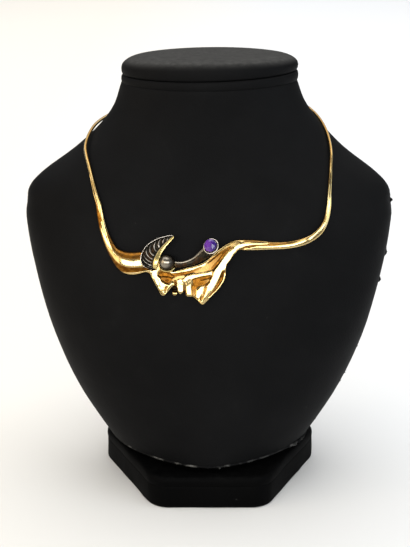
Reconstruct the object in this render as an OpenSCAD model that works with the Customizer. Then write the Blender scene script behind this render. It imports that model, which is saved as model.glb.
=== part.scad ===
// Bronze necklace on a plain black neck bust, in millimetres.
// The bust stands on its six-sided base with its front towards -Y and +Z up.
// The collar is one soldered casting: wire, horn, draped sheet, flat bar and wire again.

/* [Neck bust] */
// Half the width of the base, from corner to corner
base_half_width = 60.6; // [54:0.1:70]
// Half the depth of the base, from front to back
base_half_depth = 65.6; // [64:0.1:72]
// Length of the straight front edge of the base
base_front_edge = 61.6; // [40:0.1:80]
// Radius of the upright corners of the base
base_round = 8; // [2:0.5:12]
// Height of the two boards of the base together
base_height = 18; // [14:0.5:20]
// Height of the seam between the two boards
base_seam = 12.5; // [6:0.5:13.5]
// Radius of the spacer between the base and the chest
spacer_radius = 36; // [20:1:44]
// Height of the whole bust with its padded top
bust_height = 236; // [234:0.5:240]
// Number of corners in each section of the chest
chest_corners = 40; // [24:4:56]

/* [Collar] */
// Clear gap between the chest and the back of the collar
chest_gap = 0.3; // [0.1:0.1:1]
// Height of the folds of the drape, as a share of the modelled ones
fold_share = 1; // [0.3:0.1:1.2]
// Number of points round each section of the collar
collar_points = 28; // [16:2:32]

/* [Ornament] */
// Diameter of the dark ball
ball_diameter = 8.1; // [6:0.1:8.3]
// Height of the gills in the hollow of the leaf
gill_height = 0.6; // [0.2:0.1:0.8]
// Radius of the bezel at its rim
bezel_radius = 4.1; // [3.6:0.1:4.3]
// Wall of the bezel
bezel_wall = 0.4; // [0.3:0.1:0.7]
// Diameter of the clasp barrel behind the neck
clasp_diameter = 3.4; // [2.6:0.1:5]
// Length of the clasp barrel
clasp_length = 9; // [7:0.5:9]

/* [Hidden] */
seam_gap = 0.1;
$fn = 64;

leather = [0.07, 0.07, 0.075];
bronze = [0.86, 0.62, 0.24];
tarnish = [0.25, 0.22, 0.18];
gunmetal = [0.33, 0.31, 0.30];
amethyst = [0.42, 0.20, 0.66];

// Sections of the chest from the bottom up:
// height, half width, y of the widest line, y of the front, y of the back, roundness of the front
chest_table = [
    [21, 56.5, -9, -60, 31, 1.6],
    [33, 64, -9, -61.2, 34, 1.7],
    [50, 73.8, -9, -62.2, 37.5, 1.8],
    [70, 82.6, -9, -62.5, 40.5, 1.9],
    [95, 90.7, -9, -60.8, 43, 2],
    [125, 97.4, -8.6, -54.6, 44.5, 2],
    [150, 100.8, -6.2, -47.6, 43.5, 2],
    [158, 100, -5.4, -45.3, 42.8, 2],
    [164, 99.2, -4.9, -43.6, 42, 2],
    [169, 96.2, -4.4, -42.3, 41.3, 2],
    [174, 90.8, -3.9, -41, 40.5, 2],
    [186, 74.5, -2.8, -38.4, 38.5, 2],
    [198, 61.8, -1.7, -36.4, 36.8, 2],
    [210, 52.5, -0.6, -35.3, 35.5, 2],
    [223, 47.2, 0, -35, 35, 2],
];
chest_bottom = chest_table[0][0];
neck_top = chest_table[len(chest_table) - 1][0];
neck_half_width = 47.5;
neck_half_depth = 35;
back_roundness = 2.3;
// Heights of the sections, closer together where the chest curves more
chest_levels = [21, 23.5, 27, 33, 41, each [50 : 12 : 146], each [152 : 6 : 164],
                each [168 : 4 : 188], each [193 : 6 : 223]];

// Profiles of the welt round the neck and of its padded top:
// how far each ring lies inside the neck's oval, and its height above the chest
welt_table = [
    [1.2, 0.1],
    [-0.2, 1],
    [-0.7, 2.5],
    [-0.2, 4],
    [1.2, 4.8],
];
cap_height = bust_height - neck_top;
cap_table = [
    [1.4, 5],
    [0, 6.2],
    [-0.4, 8.2],
    [0, 10.2],
    [1.4, cap_height - 1.3],
    [4, cap_height - 0.4],
    [10, cap_height],
];

// Wire of the left side, from the clasp to the chest: x, y, z, radius
left_wire = [
    [-4.7, 44, 209.4, 0.75],
    [-14, 43.3, 209, 0.75],
    [-27, 40.3, 207.8, 0.75],
    [-39.5, 34.2, 206, 0.75],
    [-49.5, 25.6, 203.8, 0.75],
    [-56.2, 16, 202, 0.75],
    [-60.6, 6, 200.6, 0.75],
    [-63.2, -2, 198.9, 0.77],
    [-65.3, -10.3, 195.2, 0.8],
    [-66, -17.6, 190.6, 0.8],
    [-65.3, -21.8, 187, 0.83],
    [-63.9, -25.8, 183, 0.86],
    [-62.4, -29.7, 178.4, 0.95],
    [-60.9, -33.3, 173.3, 1.1],
    [-59.5, -35.9, 168.7, 1.3],
];
// Wire of the right side, from the chest to the clasp: x, y, z, radius
right_wire = [
    [63.8, -32.3, 172.9, 0.95],
    [64.2, -29.1, 177.8, 0.85],
    [64.6, -25.6, 182.3, 0.8],
    [65, -21.2, 187.9, 0.75],
    [64.4, -14.5, 193.4, 0.72],
    [62.8, -7, 198.2, 0.72],
    [60, 1.5, 202.6, 0.72],
    [56, 10.5, 206, 0.72],
    [49.8, 21, 208.2, 0.74],
    [40.5, 31.8, 209.6, 0.75],
    [28, 39.8, 210, 0.75],
    [14, 43.3, 209.8, 0.75],
    [4.7, 44, 209.4, 0.75],
];

// Sections of the collar across the chest, from left to right, seen from the front:
// inner edge x and z, outer edge x and z, thickness
collar_table = [
    [-56.7, 164.4, -59.5, 163.8, 2.3],
    [-55.2, 157.6, -58.5, 156.8, 2.6],
    [-53.7, 152.6, -57.4, 151.3, 3],
    [-51.8, 148.1, -55.7, 146.2, 3.5],
    [-49.6, 144.4, -53.6, 141.3, 4.1],
    [-47.3, 142.3, -50.9, 136.7, 4.9],
    [-44.6, 141.4, -47.9, 132.7, 5.8],
    [-41.7, 141.2, -43.6, 130.3, 6.3],
    [-38.6, 141.3, -39.7, 129.9, 6.2],
    [-35.6, 141.5, -36, 130.5, 5.5],
    [-32.4, 140.6, -32.8, 131.3, 4.2],
    [-29.7, 139.4, -30.8, 129.9, 3],
    [-27.1, 138, -28.7, 126.5, 2.3],
    [-24.5, 136.5, -26.6, 122.8, 2],
    [-22.2, 134.9, -24.9, 119.8, 1.8],
    [-20, 133, -23.2, 119.9, 1.8],
    [-18.8, 131.9, -21.2, 122, 1.8],
    [-18, 131.6, -19.6, 123.3, 1.8],
    [-17.4, 131.7, -18.6, 120.2, 1.8],
    [-16.9, 131.9, -16.9, 120.3, 1.8],
    [-16.4, 132, -16.3, 122, 1.8],
    [-15.4, 132.2, -15, 120.7, 1.8],
    [-14.1, 132.6, -13.6, 121.6, 1.8],
    [-13, 132.9, -12.7, 122.3, 1.8],
    [-12, 133.2, -12, 119.8, 1.8],
    [-10.4, 133.6, -10.2, 119.5, 1.8],
    [-8.3, 134.1, -8.1, 119, 1.8],
    [-6.2, 134.7, -5.7, 117.2, 1.8],
    [-4.2, 135.4, -3.3, 115.4, 1.8],
    [-2.1, 136.7, -1, 117.1, 1.8],
    [0, 138.4, 1.3, 119.5, 1.8],
    [1.8, 140.1, 3.9, 122, 1.8],
    [3.6, 141.9, 6.3, 124.8, 1.8],
    [5.5, 143.4, 8.4, 128.3, 1.8],
    [7.3, 144.6, 8.7, 131.8, 1.8],
    [9.1, 145.7, 9, 135.5, 1.9],
    [10.9, 146.6, 10.9, 138, 2],
    [13, 147.4, 13, 140.9, 2.2],
    [15.6, 147.8, 15.9, 142.7, 2.5],
    [19.3, 147.7, 19.5, 142.6, 2.5],
    [25.5, 147.2, 25.5, 142.5, 2.4],
    [32.9, 146.2, 32.9, 142.5, 2.3],
    [40.6, 145.9, 40.8, 142.5, 2.2],
    [47.9, 146.8, 48.8, 143.5, 2.2],
    [53.4, 148.7, 55.2, 145.9, 2.2],
    [57.8, 152.1, 60, 149.6, 2.2],
    [60.7, 156.7, 62.9, 155, 2.1],
    [62, 162.6, 64.3, 161.7, 1.9],
    [62.6, 168.4, 64.5, 167.8, 1.8],
];
collar_steps = 2;
wire_steps = 2;
// The wires turn their outward side from forward to sideways from this height up, over this rise
chest_wire_z = 166;
wire_turn = 22;

// Folds of the drape, each a ridge from one point to another:
// start x and z, end x and z, height, half width
fold_table = [
    [-30, 131.2, -24.2, 121, 2.6, 1.7],
    [-15.6, 129, -15.3, 121, 2, 1.3],
    [-11.2, 127.5, -13, 122.5, 1, 0.7],
    [-10.3, 126.5, -10.2, 119.8, 1.8, 1.1],
    [-2, 125, -6, 118, 1.9, 1.2],
    [14.5, 145.6, 6.8, 134.2, 2.4, 2.2],
    [6.8, 134.2, 2.1, 126.7, 2.8, 1.9],
    [2.1, 126.7, -2.6, 118, 2.6, 1.6],
    [8.8, 132.5, 5.2, 123.6, 0.9, 0.7],
    [5.2, 123.6, -2, 116.6, 0.9, 0.7],
    [-17.5, 129.5, -9.9, 130, 1.2, 0.8],
    [-9.9, 130, 2.4, 132.4, 1.3, 0.8],
];

// Sections of the crescent leaf, from its tip to its foot:
// inner edge x and z, outer edge x and z, distance of its back from the chest
leaf_table = [
    [-18, 150.3, -18.8, 151.2, 4.6],
    [-19, 149.1, -21, 151.1, 4.6],
    [-20, 148, -23.1, 150.5, 4.6],
    [-22, 145.8, -26, 149.7, 4.7],
    [-23.6, 143.8, -29, 148.3, 4.9],
    [-24.7, 142.1, -32, 146.2, 5.2],
    [-25.6, 140.2, -34.2, 143.6, 5.7],
    [-26.2, 138.9, -35.3, 141, 6.1],
    [-26.6, 137.7, -35.5, 138.7, 6.2],
    [-26.8, 136.5, -34.6, 136.5, 6.1],
    [-26.9, 135.6, -33.1, 135.1, 5.8],
    [-26.9, 134.8, -31.1, 134.1, 5.1],
    [-26.8, 134.1, -29, 133.4, 4.5],
];
leaf_steps = 6;
leaf_points = 22;
leaf_sheet = 1;
// Height of the rims, where the inner one lies, how broad each is, and how far the gills curl
leaf_rim = 1.1;
inner_rim_at = 0.9;
inner_rim_spread = 0.9;
outer_rim_spread = 0.55;
narrow_leaf = 3.5;
gill_lean = 1.2;
gill_curl = 0.25;

// Axis of the stem, from the ball to the bezel: x, z, distance from the chest, radius
stem_table = [
    [-17.5, 135.6, 5.2, 2],
    [-15.4, 135.7, 5, 2],
    [-12.3, 136, 4.8, 2.05],
    [-9.2, 137.3, 4.8, 2.2],
    [-6.2, 139.1, 4.9, 2.4],
    [-3.4, 141.1, 5.2, 2.65],
    [-1.2, 142.9, 5.8, 2.9],
    [0.2, 144.3, 6.6, 3.1],
];
stem_steps = 3;
stem_points = 16;

// The ball in front view and its distance from the chest, and how its cup is turned under it
ball_at = [-21.7, 137.1];
ball_forward = 6.4;
cup_wall = 0.5;
cup_tilt = [38, 0, -8];
cup_low = -60;
cup_high = -36;

// Centre of the bezel's rim in front view, its distance from the chest, and how its face is turned
bezel_at = [0.9, 146.9];
bezel_forward = 9.4;
bezel_tilt = [58, 0, -24];
bezel_depth = 3;
bezel_foot = 2.4;
seat_depth = 1.6;
// The stone's rings from the pavilion to the table: share of the full radius, height, first corner
stone_table = [
    [0.6, -1.4, 0],
    [1, 0.2, 22.5],
    [0.9, 1.6, 0],
    [0.5, 2.7, 22.5],
];
stone_sides = 8;
tip_angle = 60;
tip_share = 0.06;
clasp_y = 44;
clasp_z = 209.4;

// Row of a table at a fractional row number, on a smooth curve through the rows
function row_at(table, k) =
    let (i = min(floor(k), len(table) - 2),
         t = k - i,
         a = table[max(i - 1, 0)],
         b = table[i],
         c = table[i + 1],
         d = table[min(i + 2, len(table) - 1)])
    b + ((c - a) * t + (2 * a - 5 * b + 4 * c - d) * t * t + (3 * b - a - 3 * c + d) * t * t * t) / 2;

// Section of the chest at a height, on a smooth curve through the rows of chest_table
function chest_section(z) =
    let (last = len(chest_table) - 1,
         below = len([for (row = chest_table) if (row[0] <= z) row]),
         i = max(0, min(below - 1, last - 1)),
         a = chest_table[max(i - 1, 0)],
         b = chest_table[i],
         c = chest_table[i + 1],
         d = chest_table[min(i + 2, last)],
         h = c[0] - b[0],
         t = (z - b[0]) / h,
         slope_b = h * (c - a) / (c[0] - a[0]),
         slope_c = h * (d - b) / (d[0] - b[0]))
    b * (1 - 3 * t * t + 2 * t * t * t) + slope_b * (t - 2 * t * t + t * t * t)
        + c * (3 * t * t - 2 * t * t * t) + slope_c * (t * t * t - t * t);

// Point in front of the chest, where it is seen from the front, and how far it stands off
function before_chest(x, z, forward) =
    let (s = chest_section(z),
         across = min(abs(x) / s[1], 1),
         depth = pow(1 - pow(across, s[5]), 1 / s[5]))
    [x, s[2] + (s[3] - s[2]) * depth - forward, z];

// Corner of an oval whose roundness is 2 for an ellipse
function oval_corner(angle, half_width, half_depth, roundness) =
    [half_width * sign(cos(angle)) * pow(abs(cos(angle)), 2 / roundness),
     half_depth * sign(sin(angle)) * pow(abs(sin(angle)), 2 / roundness)];

function chest_ring(z) =
    let (s = chest_section(z))
    [for (i = [0 : chest_corners - 1])
        let (angle = 360 * i / chest_corners,
             front = angle > 180,
             p = oval_corner(angle, s[1], front ? s[2] - s[3] : s[4] - s[2],
                             front ? s[5] : back_roundness))
        [p[0], s[2] + p[1], z]];

function neck_ring(inset, z) =
    [for (i = [0 : chest_corners - 1])
        let (p = oval_corner(360 * i / chest_corners, neck_half_width - inset,
                             neck_half_depth - inset, 2))
        [p[0], p[1], z]];

// Closed skin over rings that all have the same number of points
module skin(rings) {
    n = len(rings[0]);
    last = len(rings) - 1;
    sides = [for (j = [0 : last - 1], i = [0 : n - 1])
        let (next = (i + 1) % n)
        [j * n + i, (j + 1) * n + i, (j + 1) * n + next, j * n + next]];
    start_face = [for (i = [0 : n - 1]) i];
    end_face = [for (i = [n - 1 : -1 : 0]) last * n + i];
    polyhedron([for (ring = rings) each ring], concat(sides, [start_face, end_face]), convexity = 8);
}

// Plan of the base: six straight sides with round corners
module base_plan(inset) {
    hw = base_half_width - inset;
    hd = base_half_depth - inset;
    edge = base_front_edge / 2 - inset / 2;
    corners = [[hw, 0], [edge, hd], [-edge, hd], [-hw, 0], [-edge, -hd], [edge, -hd]];
    function toward(a, b) = (b - a) / norm(b - a);
    // Half the angle at each corner gives how far the round reaches along the sides
    function half_angle(i) =
        acos(toward(corners[i], corners[(i + 1) % 6]) * toward(corners[i], corners[(i + 5) % 6])) / 2;
    function reach(i) = base_round / tan(half_angle(i));
    function centre(i) =
        let (a = toward(corners[i], corners[(i + 1) % 6]),
             b = toward(corners[i], corners[(i + 5) % 6]))
        corners[i] + (a + b) / norm(a + b) * base_round / sin(half_angle(i));
    polygon([for (i = [0 : 5], side = [5, 1])
        corners[i] + toward(corners[i], corners[(i + side) % 6]) * reach(i)]);
    for (i = [0 : 5]) translate(centre(i)) circle(base_round);
}

module pedestal() {
    upper_inset = 0.8;
    color(leather) {
        linear_extrude(base_seam) base_plan(0);
        linear_extrude(base_height) base_plan(upper_inset);
    }
}

module spacer() {
    height = chest_bottom - base_height - 2 * seam_gap;
    color(leather) translate([0, 0, base_height + seam_gap]) cylinder(h = height, r = spacer_radius);
}

module bust() {
    color(leather) skin([for (z = chest_levels) chest_ring(z)]);
}

// Raised band round the top of the neck, between the two grooves
module welt() {
    color(leather) skin([for (row = welt_table) neck_ring(row[0], neck_top + row[1])]);
}

// Padded top of the neck
module neck_cap() {
    color(leather) skin([for (row = cap_table) neck_ring(row[0], neck_top + row[1])]);
}

// Height of the drape's folds at a place seen from the front
function fold_height(x, z) =
    fold_share * max([for (f = fold_table)
        let (a = [f[0], f[1]],
             b = [f[2], f[3]],
             along = max(0, min(1, ([x, z] - a) * (b - a) / ((b - a) * (b - a)))),
             away = norm([x, z] - a - (b - a) * along) / f[5])
        f[4] * exp(-away * away)]);

// Section of the collar on the chest, which runs from the inner edge over the front to the outer edge
function collar_ring(row) =
    [for (i = [0 : collar_points - 1])
        let (angle = 360 * i / collar_points,
             across = (1 - cos(angle)) / 2,
             x = row[0] + (row[2] - row[0]) * across,
             z = row[1] + (row[3] - row[1]) * across)
        before_chest(x, z, chest_gap + fold_height(x, z) + row[4] * (1 + sin(angle)) / 2)];

// Section of a wire: its outward side faces forward on the chest and away from the neck above it
function wire_ring(table, k) =
    let (row = row_at(table, k),
         c = [row[0], row[1], row[2]],
         step = row_at(table, min(k + 0.1, len(table) - 1)) - row_at(table, max(k - 0.1, 0)),
         t = [step[0], step[1], step[2]] / norm([step[0], step[1], step[2]]),
         turn = min(1, max(0, (c[2] - chest_wire_z) / wire_turn)),
         away = [c[0] * turn, c[1] - neck_half_width * (1 - turn), 0],
         flat = away - (away * t) * t,
         outward = flat / norm(flat),
         inner = cross(outward, t))
    [for (i = [0 : collar_points - 1])
        let (angle = 360 * i / collar_points)
        c + row[3] * (inner * cos(angle) + outward * sin(angle))];

module collar() {
    left = [for (k = [0 : 1 / wire_steps : len(left_wire) - 1]) wire_ring(left_wire, k)];
    front = [for (k = [0 : 1 / collar_steps : len(collar_table) - 1])
        collar_ring(row_at(collar_table, k))];
    right = [for (k = [0 : 1 / wire_steps : len(right_wire) - 1]) wire_ring(right_wire, k)];
    color(bronze) skin(concat(left, front, right));
}

// Relief of the leaf: thin outer rim, broad inner rim, and gills that curl across the hollow.
// across runs from the inner edge, 0, to the outer edge, 1
function leaf_relief(k, across, width) =
    let (from_inner = width * across,
         from_outer = width * (1 - across),
         inner_rim = leaf_rim * exp(-pow((from_inner - inner_rim_at) / inner_rim_spread, 2)),
         outer_rim = leaf_rim * exp(-pow(from_outer / outer_rim_spread, 2)),
         hollow = min(1, max(0, (width - narrow_leaf) / 2)) * pow(sin(180 * across), 2),
         curl = gill_lean * (1 - across) + gill_curl * sin(360 * across),
         turn = 360 * (k - curl))
    max(inner_rim, outer_rim) + gill_height * hollow * (1 + sin(turn)) / 2;

function leaf_ring(k) =
    let (row = row_at(leaf_table, k),
         width = norm([row[2] - row[0], row[3] - row[1]]))
    [for (i = [0 : leaf_points - 1])
        let (angle = 360 * i / leaf_points,
             across = (1 - cos(angle)) / 2,
             x = row[0] + (row[2] - row[0]) * across,
             z = row[1] + (row[3] - row[1]) * across,
             front = sin(angle) > 0.01,
             rise = front ? leaf_relief(k, across, width) : 0)
        before_chest(x, z, row[4] + rise + leaf_sheet * (1 + sin(angle)) / 2)];

module leaf() {
    color(tarnish) skin([for (k = [0 : 1 / leaf_steps : len(leaf_table) - 1]) leaf_ring(k)]);
}

module ball() {
    color(gunmetal) translate(before_chest(ball_at[0], ball_at[1], ball_forward))
        sphere(d = ball_diameter);
}

// Open cup that the ball rests in, turned down and back against the collar
module ball_cup() {
    inside = ball_diameter / 2 + seam_gap;
    beyond = 2 * ball_diameter;
    function ray(angle) = beyond * [cos(angle), sin(angle)];
    color(tarnish) translate(before_chest(ball_at[0], ball_at[1], ball_forward))
        rotate(cup_tilt)
        rotate_extrude()
        intersection() {
            difference() {
                circle(inside + cup_wall);
                circle(inside);
            }
            polygon([[0, 0], ray(cup_high), ray(cup_low)]);
        }
}

function stem_ring(k) =
    let (row = row_at(stem_table, k),
         step = row_at(stem_table, min(k + 0.1, len(stem_table) - 1))
                - row_at(stem_table, max(k - 0.1, 0)),
         c = before_chest(row[0], row[1], row[2]),
         t = [step[0], -step[2], step[1]] / norm([step[0], step[2], step[1]]),
         up = cross(t, [0, -1, 0]),
         side = up / norm(up),
         outward = cross(side, t))
    [for (i = [0 : stem_points - 1])
        let (angle = 360 * i / stem_points)
        c + row[3] * (side * cos(angle) - outward * sin(angle))];

// Carries a shape from the bezel's own axis to its place at the end of the stem
module at_bezel() {
    translate(before_chest(bezel_at[0], bezel_at[1], bezel_forward)) rotate(bezel_tilt) children();
}

// Curved dark stem, soldered to the cup that holds the stone
module stem() {
    color(tarnish) {
        skin([for (k = [0 : 1 / stem_steps : len(stem_table) - 1]) stem_ring(k)]);
        at_bezel() difference() {
            translate([0, 0, -bezel_depth])
                cylinder(h = bezel_depth, r1 = bezel_foot, r2 = bezel_radius);
            translate([0, 0, -seat_depth]) cylinder(h = seat_depth + 1, r = bezel_radius - bezel_wall);
        }
    }
}

// Ring of the stone, nearly round and drawn out to a soft tip at tip_angle
function stone_ring(row) =
    [for (i = [0 : stone_sides - 1])
        let (angle = 360 * i / stone_sides + row[2],
             tip = 1 - tip_share + tip_share * cos(angle - tip_angle),
             radius = (bezel_radius - bezel_wall - seam_gap) * row[0] * tip)
        [radius * cos(angle), radius * sin(angle), row[1]]];

// Faceted stone: pavilion, girdle, two rows of crown facets and table
module stone() {
    color(amethyst) at_bezel() hull() skin([for (row = stone_table) stone_ring(row)]);
}

// Plain barrel that closes the loop behind the neck
module clasp() {
    color(bronze) translate([0, clasp_y, clasp_z]) rotate([0, 90, 0])
        cylinder(h = clasp_length, d = clasp_diameter, center = true);
}

pedestal();
spacer();
bust();
welt();
neck_cap();
collar();
leaf();
ball();
ball_cup();
stem();
stone();
clasp();
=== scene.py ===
import math

import bpy
from mathutils import Euler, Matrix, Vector, noise


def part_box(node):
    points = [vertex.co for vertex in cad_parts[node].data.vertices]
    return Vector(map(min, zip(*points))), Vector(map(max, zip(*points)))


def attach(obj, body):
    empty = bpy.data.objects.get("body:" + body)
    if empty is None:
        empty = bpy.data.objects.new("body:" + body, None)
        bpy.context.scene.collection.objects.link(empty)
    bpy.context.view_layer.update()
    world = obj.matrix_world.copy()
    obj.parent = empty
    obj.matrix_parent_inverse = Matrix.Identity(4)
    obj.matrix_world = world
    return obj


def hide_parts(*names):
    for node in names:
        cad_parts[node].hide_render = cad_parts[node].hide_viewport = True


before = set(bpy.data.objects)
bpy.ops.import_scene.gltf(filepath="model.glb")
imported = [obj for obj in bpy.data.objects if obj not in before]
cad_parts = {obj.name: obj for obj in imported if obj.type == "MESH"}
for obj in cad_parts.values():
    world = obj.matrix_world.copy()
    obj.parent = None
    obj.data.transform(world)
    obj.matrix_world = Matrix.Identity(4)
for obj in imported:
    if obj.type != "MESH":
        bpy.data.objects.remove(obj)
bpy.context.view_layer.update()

# Camera, floor and light
# The bust is photographed a little from above, on a seamless pale surface that runs out of view.
# Windows stand behind the camera, from warm at the left to cool at the right, under a bright ceiling.

bpy.ops.object.select_all(action="DESELECT")
camera_distance, camera_height = 0.650, 0.3245
looks_down = 18
bpy.ops.object.camera_add(location=(0, -camera_distance, camera_height),
                          rotation=(math.radians(90 - looks_down), 0, 0))
camera = bpy.context.object
bpy.context.scene.camera = camera
frame_height = 547
focal_pixels = 1203
pixels_right_of_middle = 4
camera.data.sensor_width = 36
camera.data.lens = focal_pixels * camera.data.sensor_width / frame_height
camera.data.shift_x = -pixels_right_of_middle / frame_height
bpy.context.scene.view_settings.view_transform = "Standard"


def softbox(name, place, target, width, height, radiance, colour):
    """A soft rectangular lamp at a place, turned to face a target."""
    bpy.ops.object.light_add(type="AREA", location=place)
    lamp = bpy.context.object
    lamp.name = name
    lamp.rotation_euler = (Vector(target) - Vector(place)).to_track_quat("-Z", "Y").to_euler()
    lamp.data.shape = "RECTANGLE"
    lamp.data.size = width
    lamp.data.size_y = height
    lamp.data.energy = radiance * math.pi * width * height
    lamp.data.color = colour
    return lamp


necklace_place = Vector((0, -0.05, 0.14))
window_distance, window_rise = 2.4, math.radians(16)
# Direction in degrees from straight ahead, width, height, radiance, colour
windows = {
    "warm_wall": (-70, 1.5, 1.5, 2.2, (1, 0.82, 0.58)),
    "left_window": (-31, 1.25, 0.85, 6.3, (1, 0.97, 0.92)),
    "front_window": (-2, 0.93, 0.85, 6.3, (1, 0.99, 0.97)),
    "right_window": (21, 0.95, 0.85, 6.3, (0.95, 0.98, 1)),
    "cool_wall": (68, 1.5, 1.5, 2.2, (0.76, 0.88, 1)),
}
for name, (direction, width, height, radiance, colour) in windows.items():
    turn = math.radians(direction)
    place = necklace_place + window_distance * Vector((math.sin(turn) * math.cos(window_rise),
                                                       -math.cos(turn) * math.cos(window_rise),
                                                       math.sin(window_rise)))
    softbox(name, place, necklace_place, width, height, radiance, colour)
ceiling = softbox("ceiling", place=(0, 1.9, 1.7), target=(0, 1.9, 0), width=4, height=4.8,
                  radiance=1.4, colour=(1, 1, 1))
ceiling.data.spread = math.radians(130)
softbox("ceiling_lamp", place=(0, -0.44, 1.42), target=necklace_place, width=0.8, height=0.5,
        radiance=2.4, colour=(1, 0.99, 0.96))

world = bpy.data.worlds.new("room")
bpy.context.scene.world = world
world.use_nodes = True
world.node_tree.nodes["Background"].inputs["Color"].default_value = (0.97, 0.98, 1, 1)
world.node_tree.nodes["Background"].inputs["Strength"].default_value = 0.2

bpy.ops.mesh.primitive_plane_add(size=16, location=(0, 0, 0))
floor = bpy.context.object
floor.name = "floor"


class Shade:
    """One value in a material. Arithmetic on it adds Math nodes, and node() adds any other node."""

    def __init__(self, tree, socket=None):
        self.tree = tree
        self.socket = socket

    def node(self, kind, settings=(), values=(), out=0):
        """Adds a node with settings, and values or links for its inputs, and returns one output."""
        made = self.tree.nodes.new("ShaderNode" + kind)
        for name, setting in dict(settings).items():
            setattr(made, name, setting)
        for name, value in dict(values).items():
            if isinstance(value, Shade):
                self.tree.links.new(value.socket, made.inputs[name])
            else:
                made.inputs[name].default_value = value
        return Shade(self.tree, made.outputs[out])

    def math(self, operation, *values):
        return self.node("Math", {"operation": operation}, dict(enumerate(values)))

    def __add__(self, other):
        return self.math("ADD", self, other)

    def __sub__(self, other):
        return self.math("SUBTRACT", self, other)

    def __rsub__(self, other):
        return self.math("SUBTRACT", other, self)

    def __mul__(self, other):
        return self.math("MULTIPLY", self, other)

    __radd__ = __add__
    __rmul__ = __mul__

    def clamped(self):
        return self.math("MINIMUM", self.math("MAXIMUM", self, 0.0), 1.0)

    def above(self, low, high):
        """0 under low and 1 over high, with a soft step between."""
        values = {"Value": self, "From Min": low, "From Max": high}
        return self.node("MapRange", {"interpolation_type": "SMOOTHSTEP"}, values)

    def mix(self, colour_a, colour_b):
        """Colour a where this value is 0 and colour b where it is 1."""
        return self.node("Mix", {"data_type": "RGBA"}, {0: self, 6: colour_a, 7: colour_b}, 2)

    def noise(self, scale, detail=3.0, roughness=0.5):
        place = self.node("TexCoord", out=3)
        return self.node("TexNoise", {}, {"Vector": place, "Scale": scale, "Detail": detail,
                                          "Roughness": roughness})

    def attribute(self, name):
        return self.node("Attribute", {"attribute_name": name}, out=2)


def new_material(name, **constants):
    """A Principled material with its constant sockets set, and a Shade to build the rest from."""
    material = bpy.data.materials.new(name)
    material.use_nodes = True
    surface = material.node_tree.nodes["Principled BSDF"]
    for socket, value in constants.items():
        surface.inputs[socket.replace("_", " ")].default_value = value
    return material, surface, Shade(material.node_tree)


def connect(surface, **shades):
    for socket, shade in shades.items():
        shade.tree.links.new(shade.socket, surface.inputs[socket.replace("_", " ")])


# The paper has painted light: it is painted darker near the camera, a painted shade,
# and painted warm at the left and cool at the right, a painted tint of the side lamps
paper, surface, shade = new_material("white_paper_painted_light", Roughness=0.9)
place = shade.node("TexCoord", out=3)
from_left = shade.node("SeparateXYZ", {}, {"Vector": place}, 0)
from_front = shade.node("SeparateXYZ", {}, {"Vector": place}, 1)
# Painted shade: the paper grows darker towards the camera
tone = from_front.above(-0.75, -0.2).mix([0.3, 0.297, 0.292, 1], [0.68, 0.675, 0.67, 1])
side = shade.node("MapRange", {}, {"Value": from_left, "From Min": -0.25, "From Max": 0.2})
# Painted light: warm at the left and cool at the right
painted_warm_cool_light = side.mix([1, 0.965, 0.89, 1], [0.96, 0.98, 1, 1])
paper_with_painted_light = shade.node("Mix", {"data_type": "RGBA", "blend_type": "MULTIPLY"}, {0: 1.0, 6: tone, 7: painted_warm_cool_light}, 2)
connect(surface, Base_Color=paper_with_painted_light)
floor.data.materials.append(paper)

# Base
# Two stacked boards with six sides and round corners, with a fine seam between them.
# They are wood under black leatherette, which is drawn soft over every edge.


def leatherette(name, tone, shine, dust_and_sheen):
    """Matte black leatherette with fine grain, lint, dusty marks, grey rubbing where worn says, and painted
    sheen.
    """
    material, surface, shade = new_material(name, Specular_IOR_Level=shine)
    place = shade.node("TexCoord", out=3)
    black = shade.noise(14, 5.0, 0.6).above(0.3, 0.75).mix([0.75 * tone, 0.75 * tone, 0.8 * tone, 1],
                                                           [1.25 * tone, 1.25 * tone, 1.3 * tone, 1])
    lint_scale = 130.0
    lint_cells = shade.node("TexVoronoi", {}, {"Vector": place, "Scale": lint_scale})
    lint_pick = shade.node("TexVoronoi", {}, {"Vector": place, "Scale": lint_scale}, 1)
    few_cells = shade.node("SeparateColor", {}, {"Color": lint_pick}).above(0.9, 0.93)
    lint = (1 - lint_cells.above(0.03, 0.06)) * few_cells
    rubbed = shade.attribute("worn") * shade.noise(260, 4.0, 0.65).above(0.4, 0.7) * 0.4
    marks = shade.noise(55, 3.0, 0.6).above(0.62, 0.8) * dust_and_sheen
    # Painted sheen: the pad's top is painted lighter, broken up like dust, as the light from above falls on
    # it
    painted_top_sheen = shade.attribute("dust_and_sheen") * (0.07 + shade.noise(420, 5.0, 0.7).above(0.2, 0.8) * 0.11)
    dust_wear_and_sheen = (lint * 0.12 + rubbed + marks + painted_top_sheen).clamped()
    colour = dust_wear_and_sheen.mix(black, [0.26, 0.255, 0.24, 1])
    grain_cells = shade.node("TexVoronoi", {"feature": "SMOOTH_F1"}, {"Vector": place, "Scale": 1100.0})
    grain = grain_cells * 0.6 + shade.noise(2400, 2.0) * 0.4
    bump = shade.node("Bump", {}, {"Height": grain, "Strength": 0.3, "Distance": 0.0004})
    bump = shade.node("Bump", {}, {"Height": shade.noise(45, 2.0), "Strength": 0.25, "Distance": 0.002,
                                   "Normal": bump})
    roughness = 0.52 + shade.noise(30, 4.0) * 0.18 + dust_wear_and_sheen * 0.2
    connect(surface, Base_Color=colour, Roughness=roughness, Normal=bump)
    return material


bust_leatherette = leatherette("black_leatherette", 0.0042, 0.042, 0.008)
base_leatherette = leatherette("base_leatherette", 0.001, 0.025, 0.003)

MM = 0.001


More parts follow.
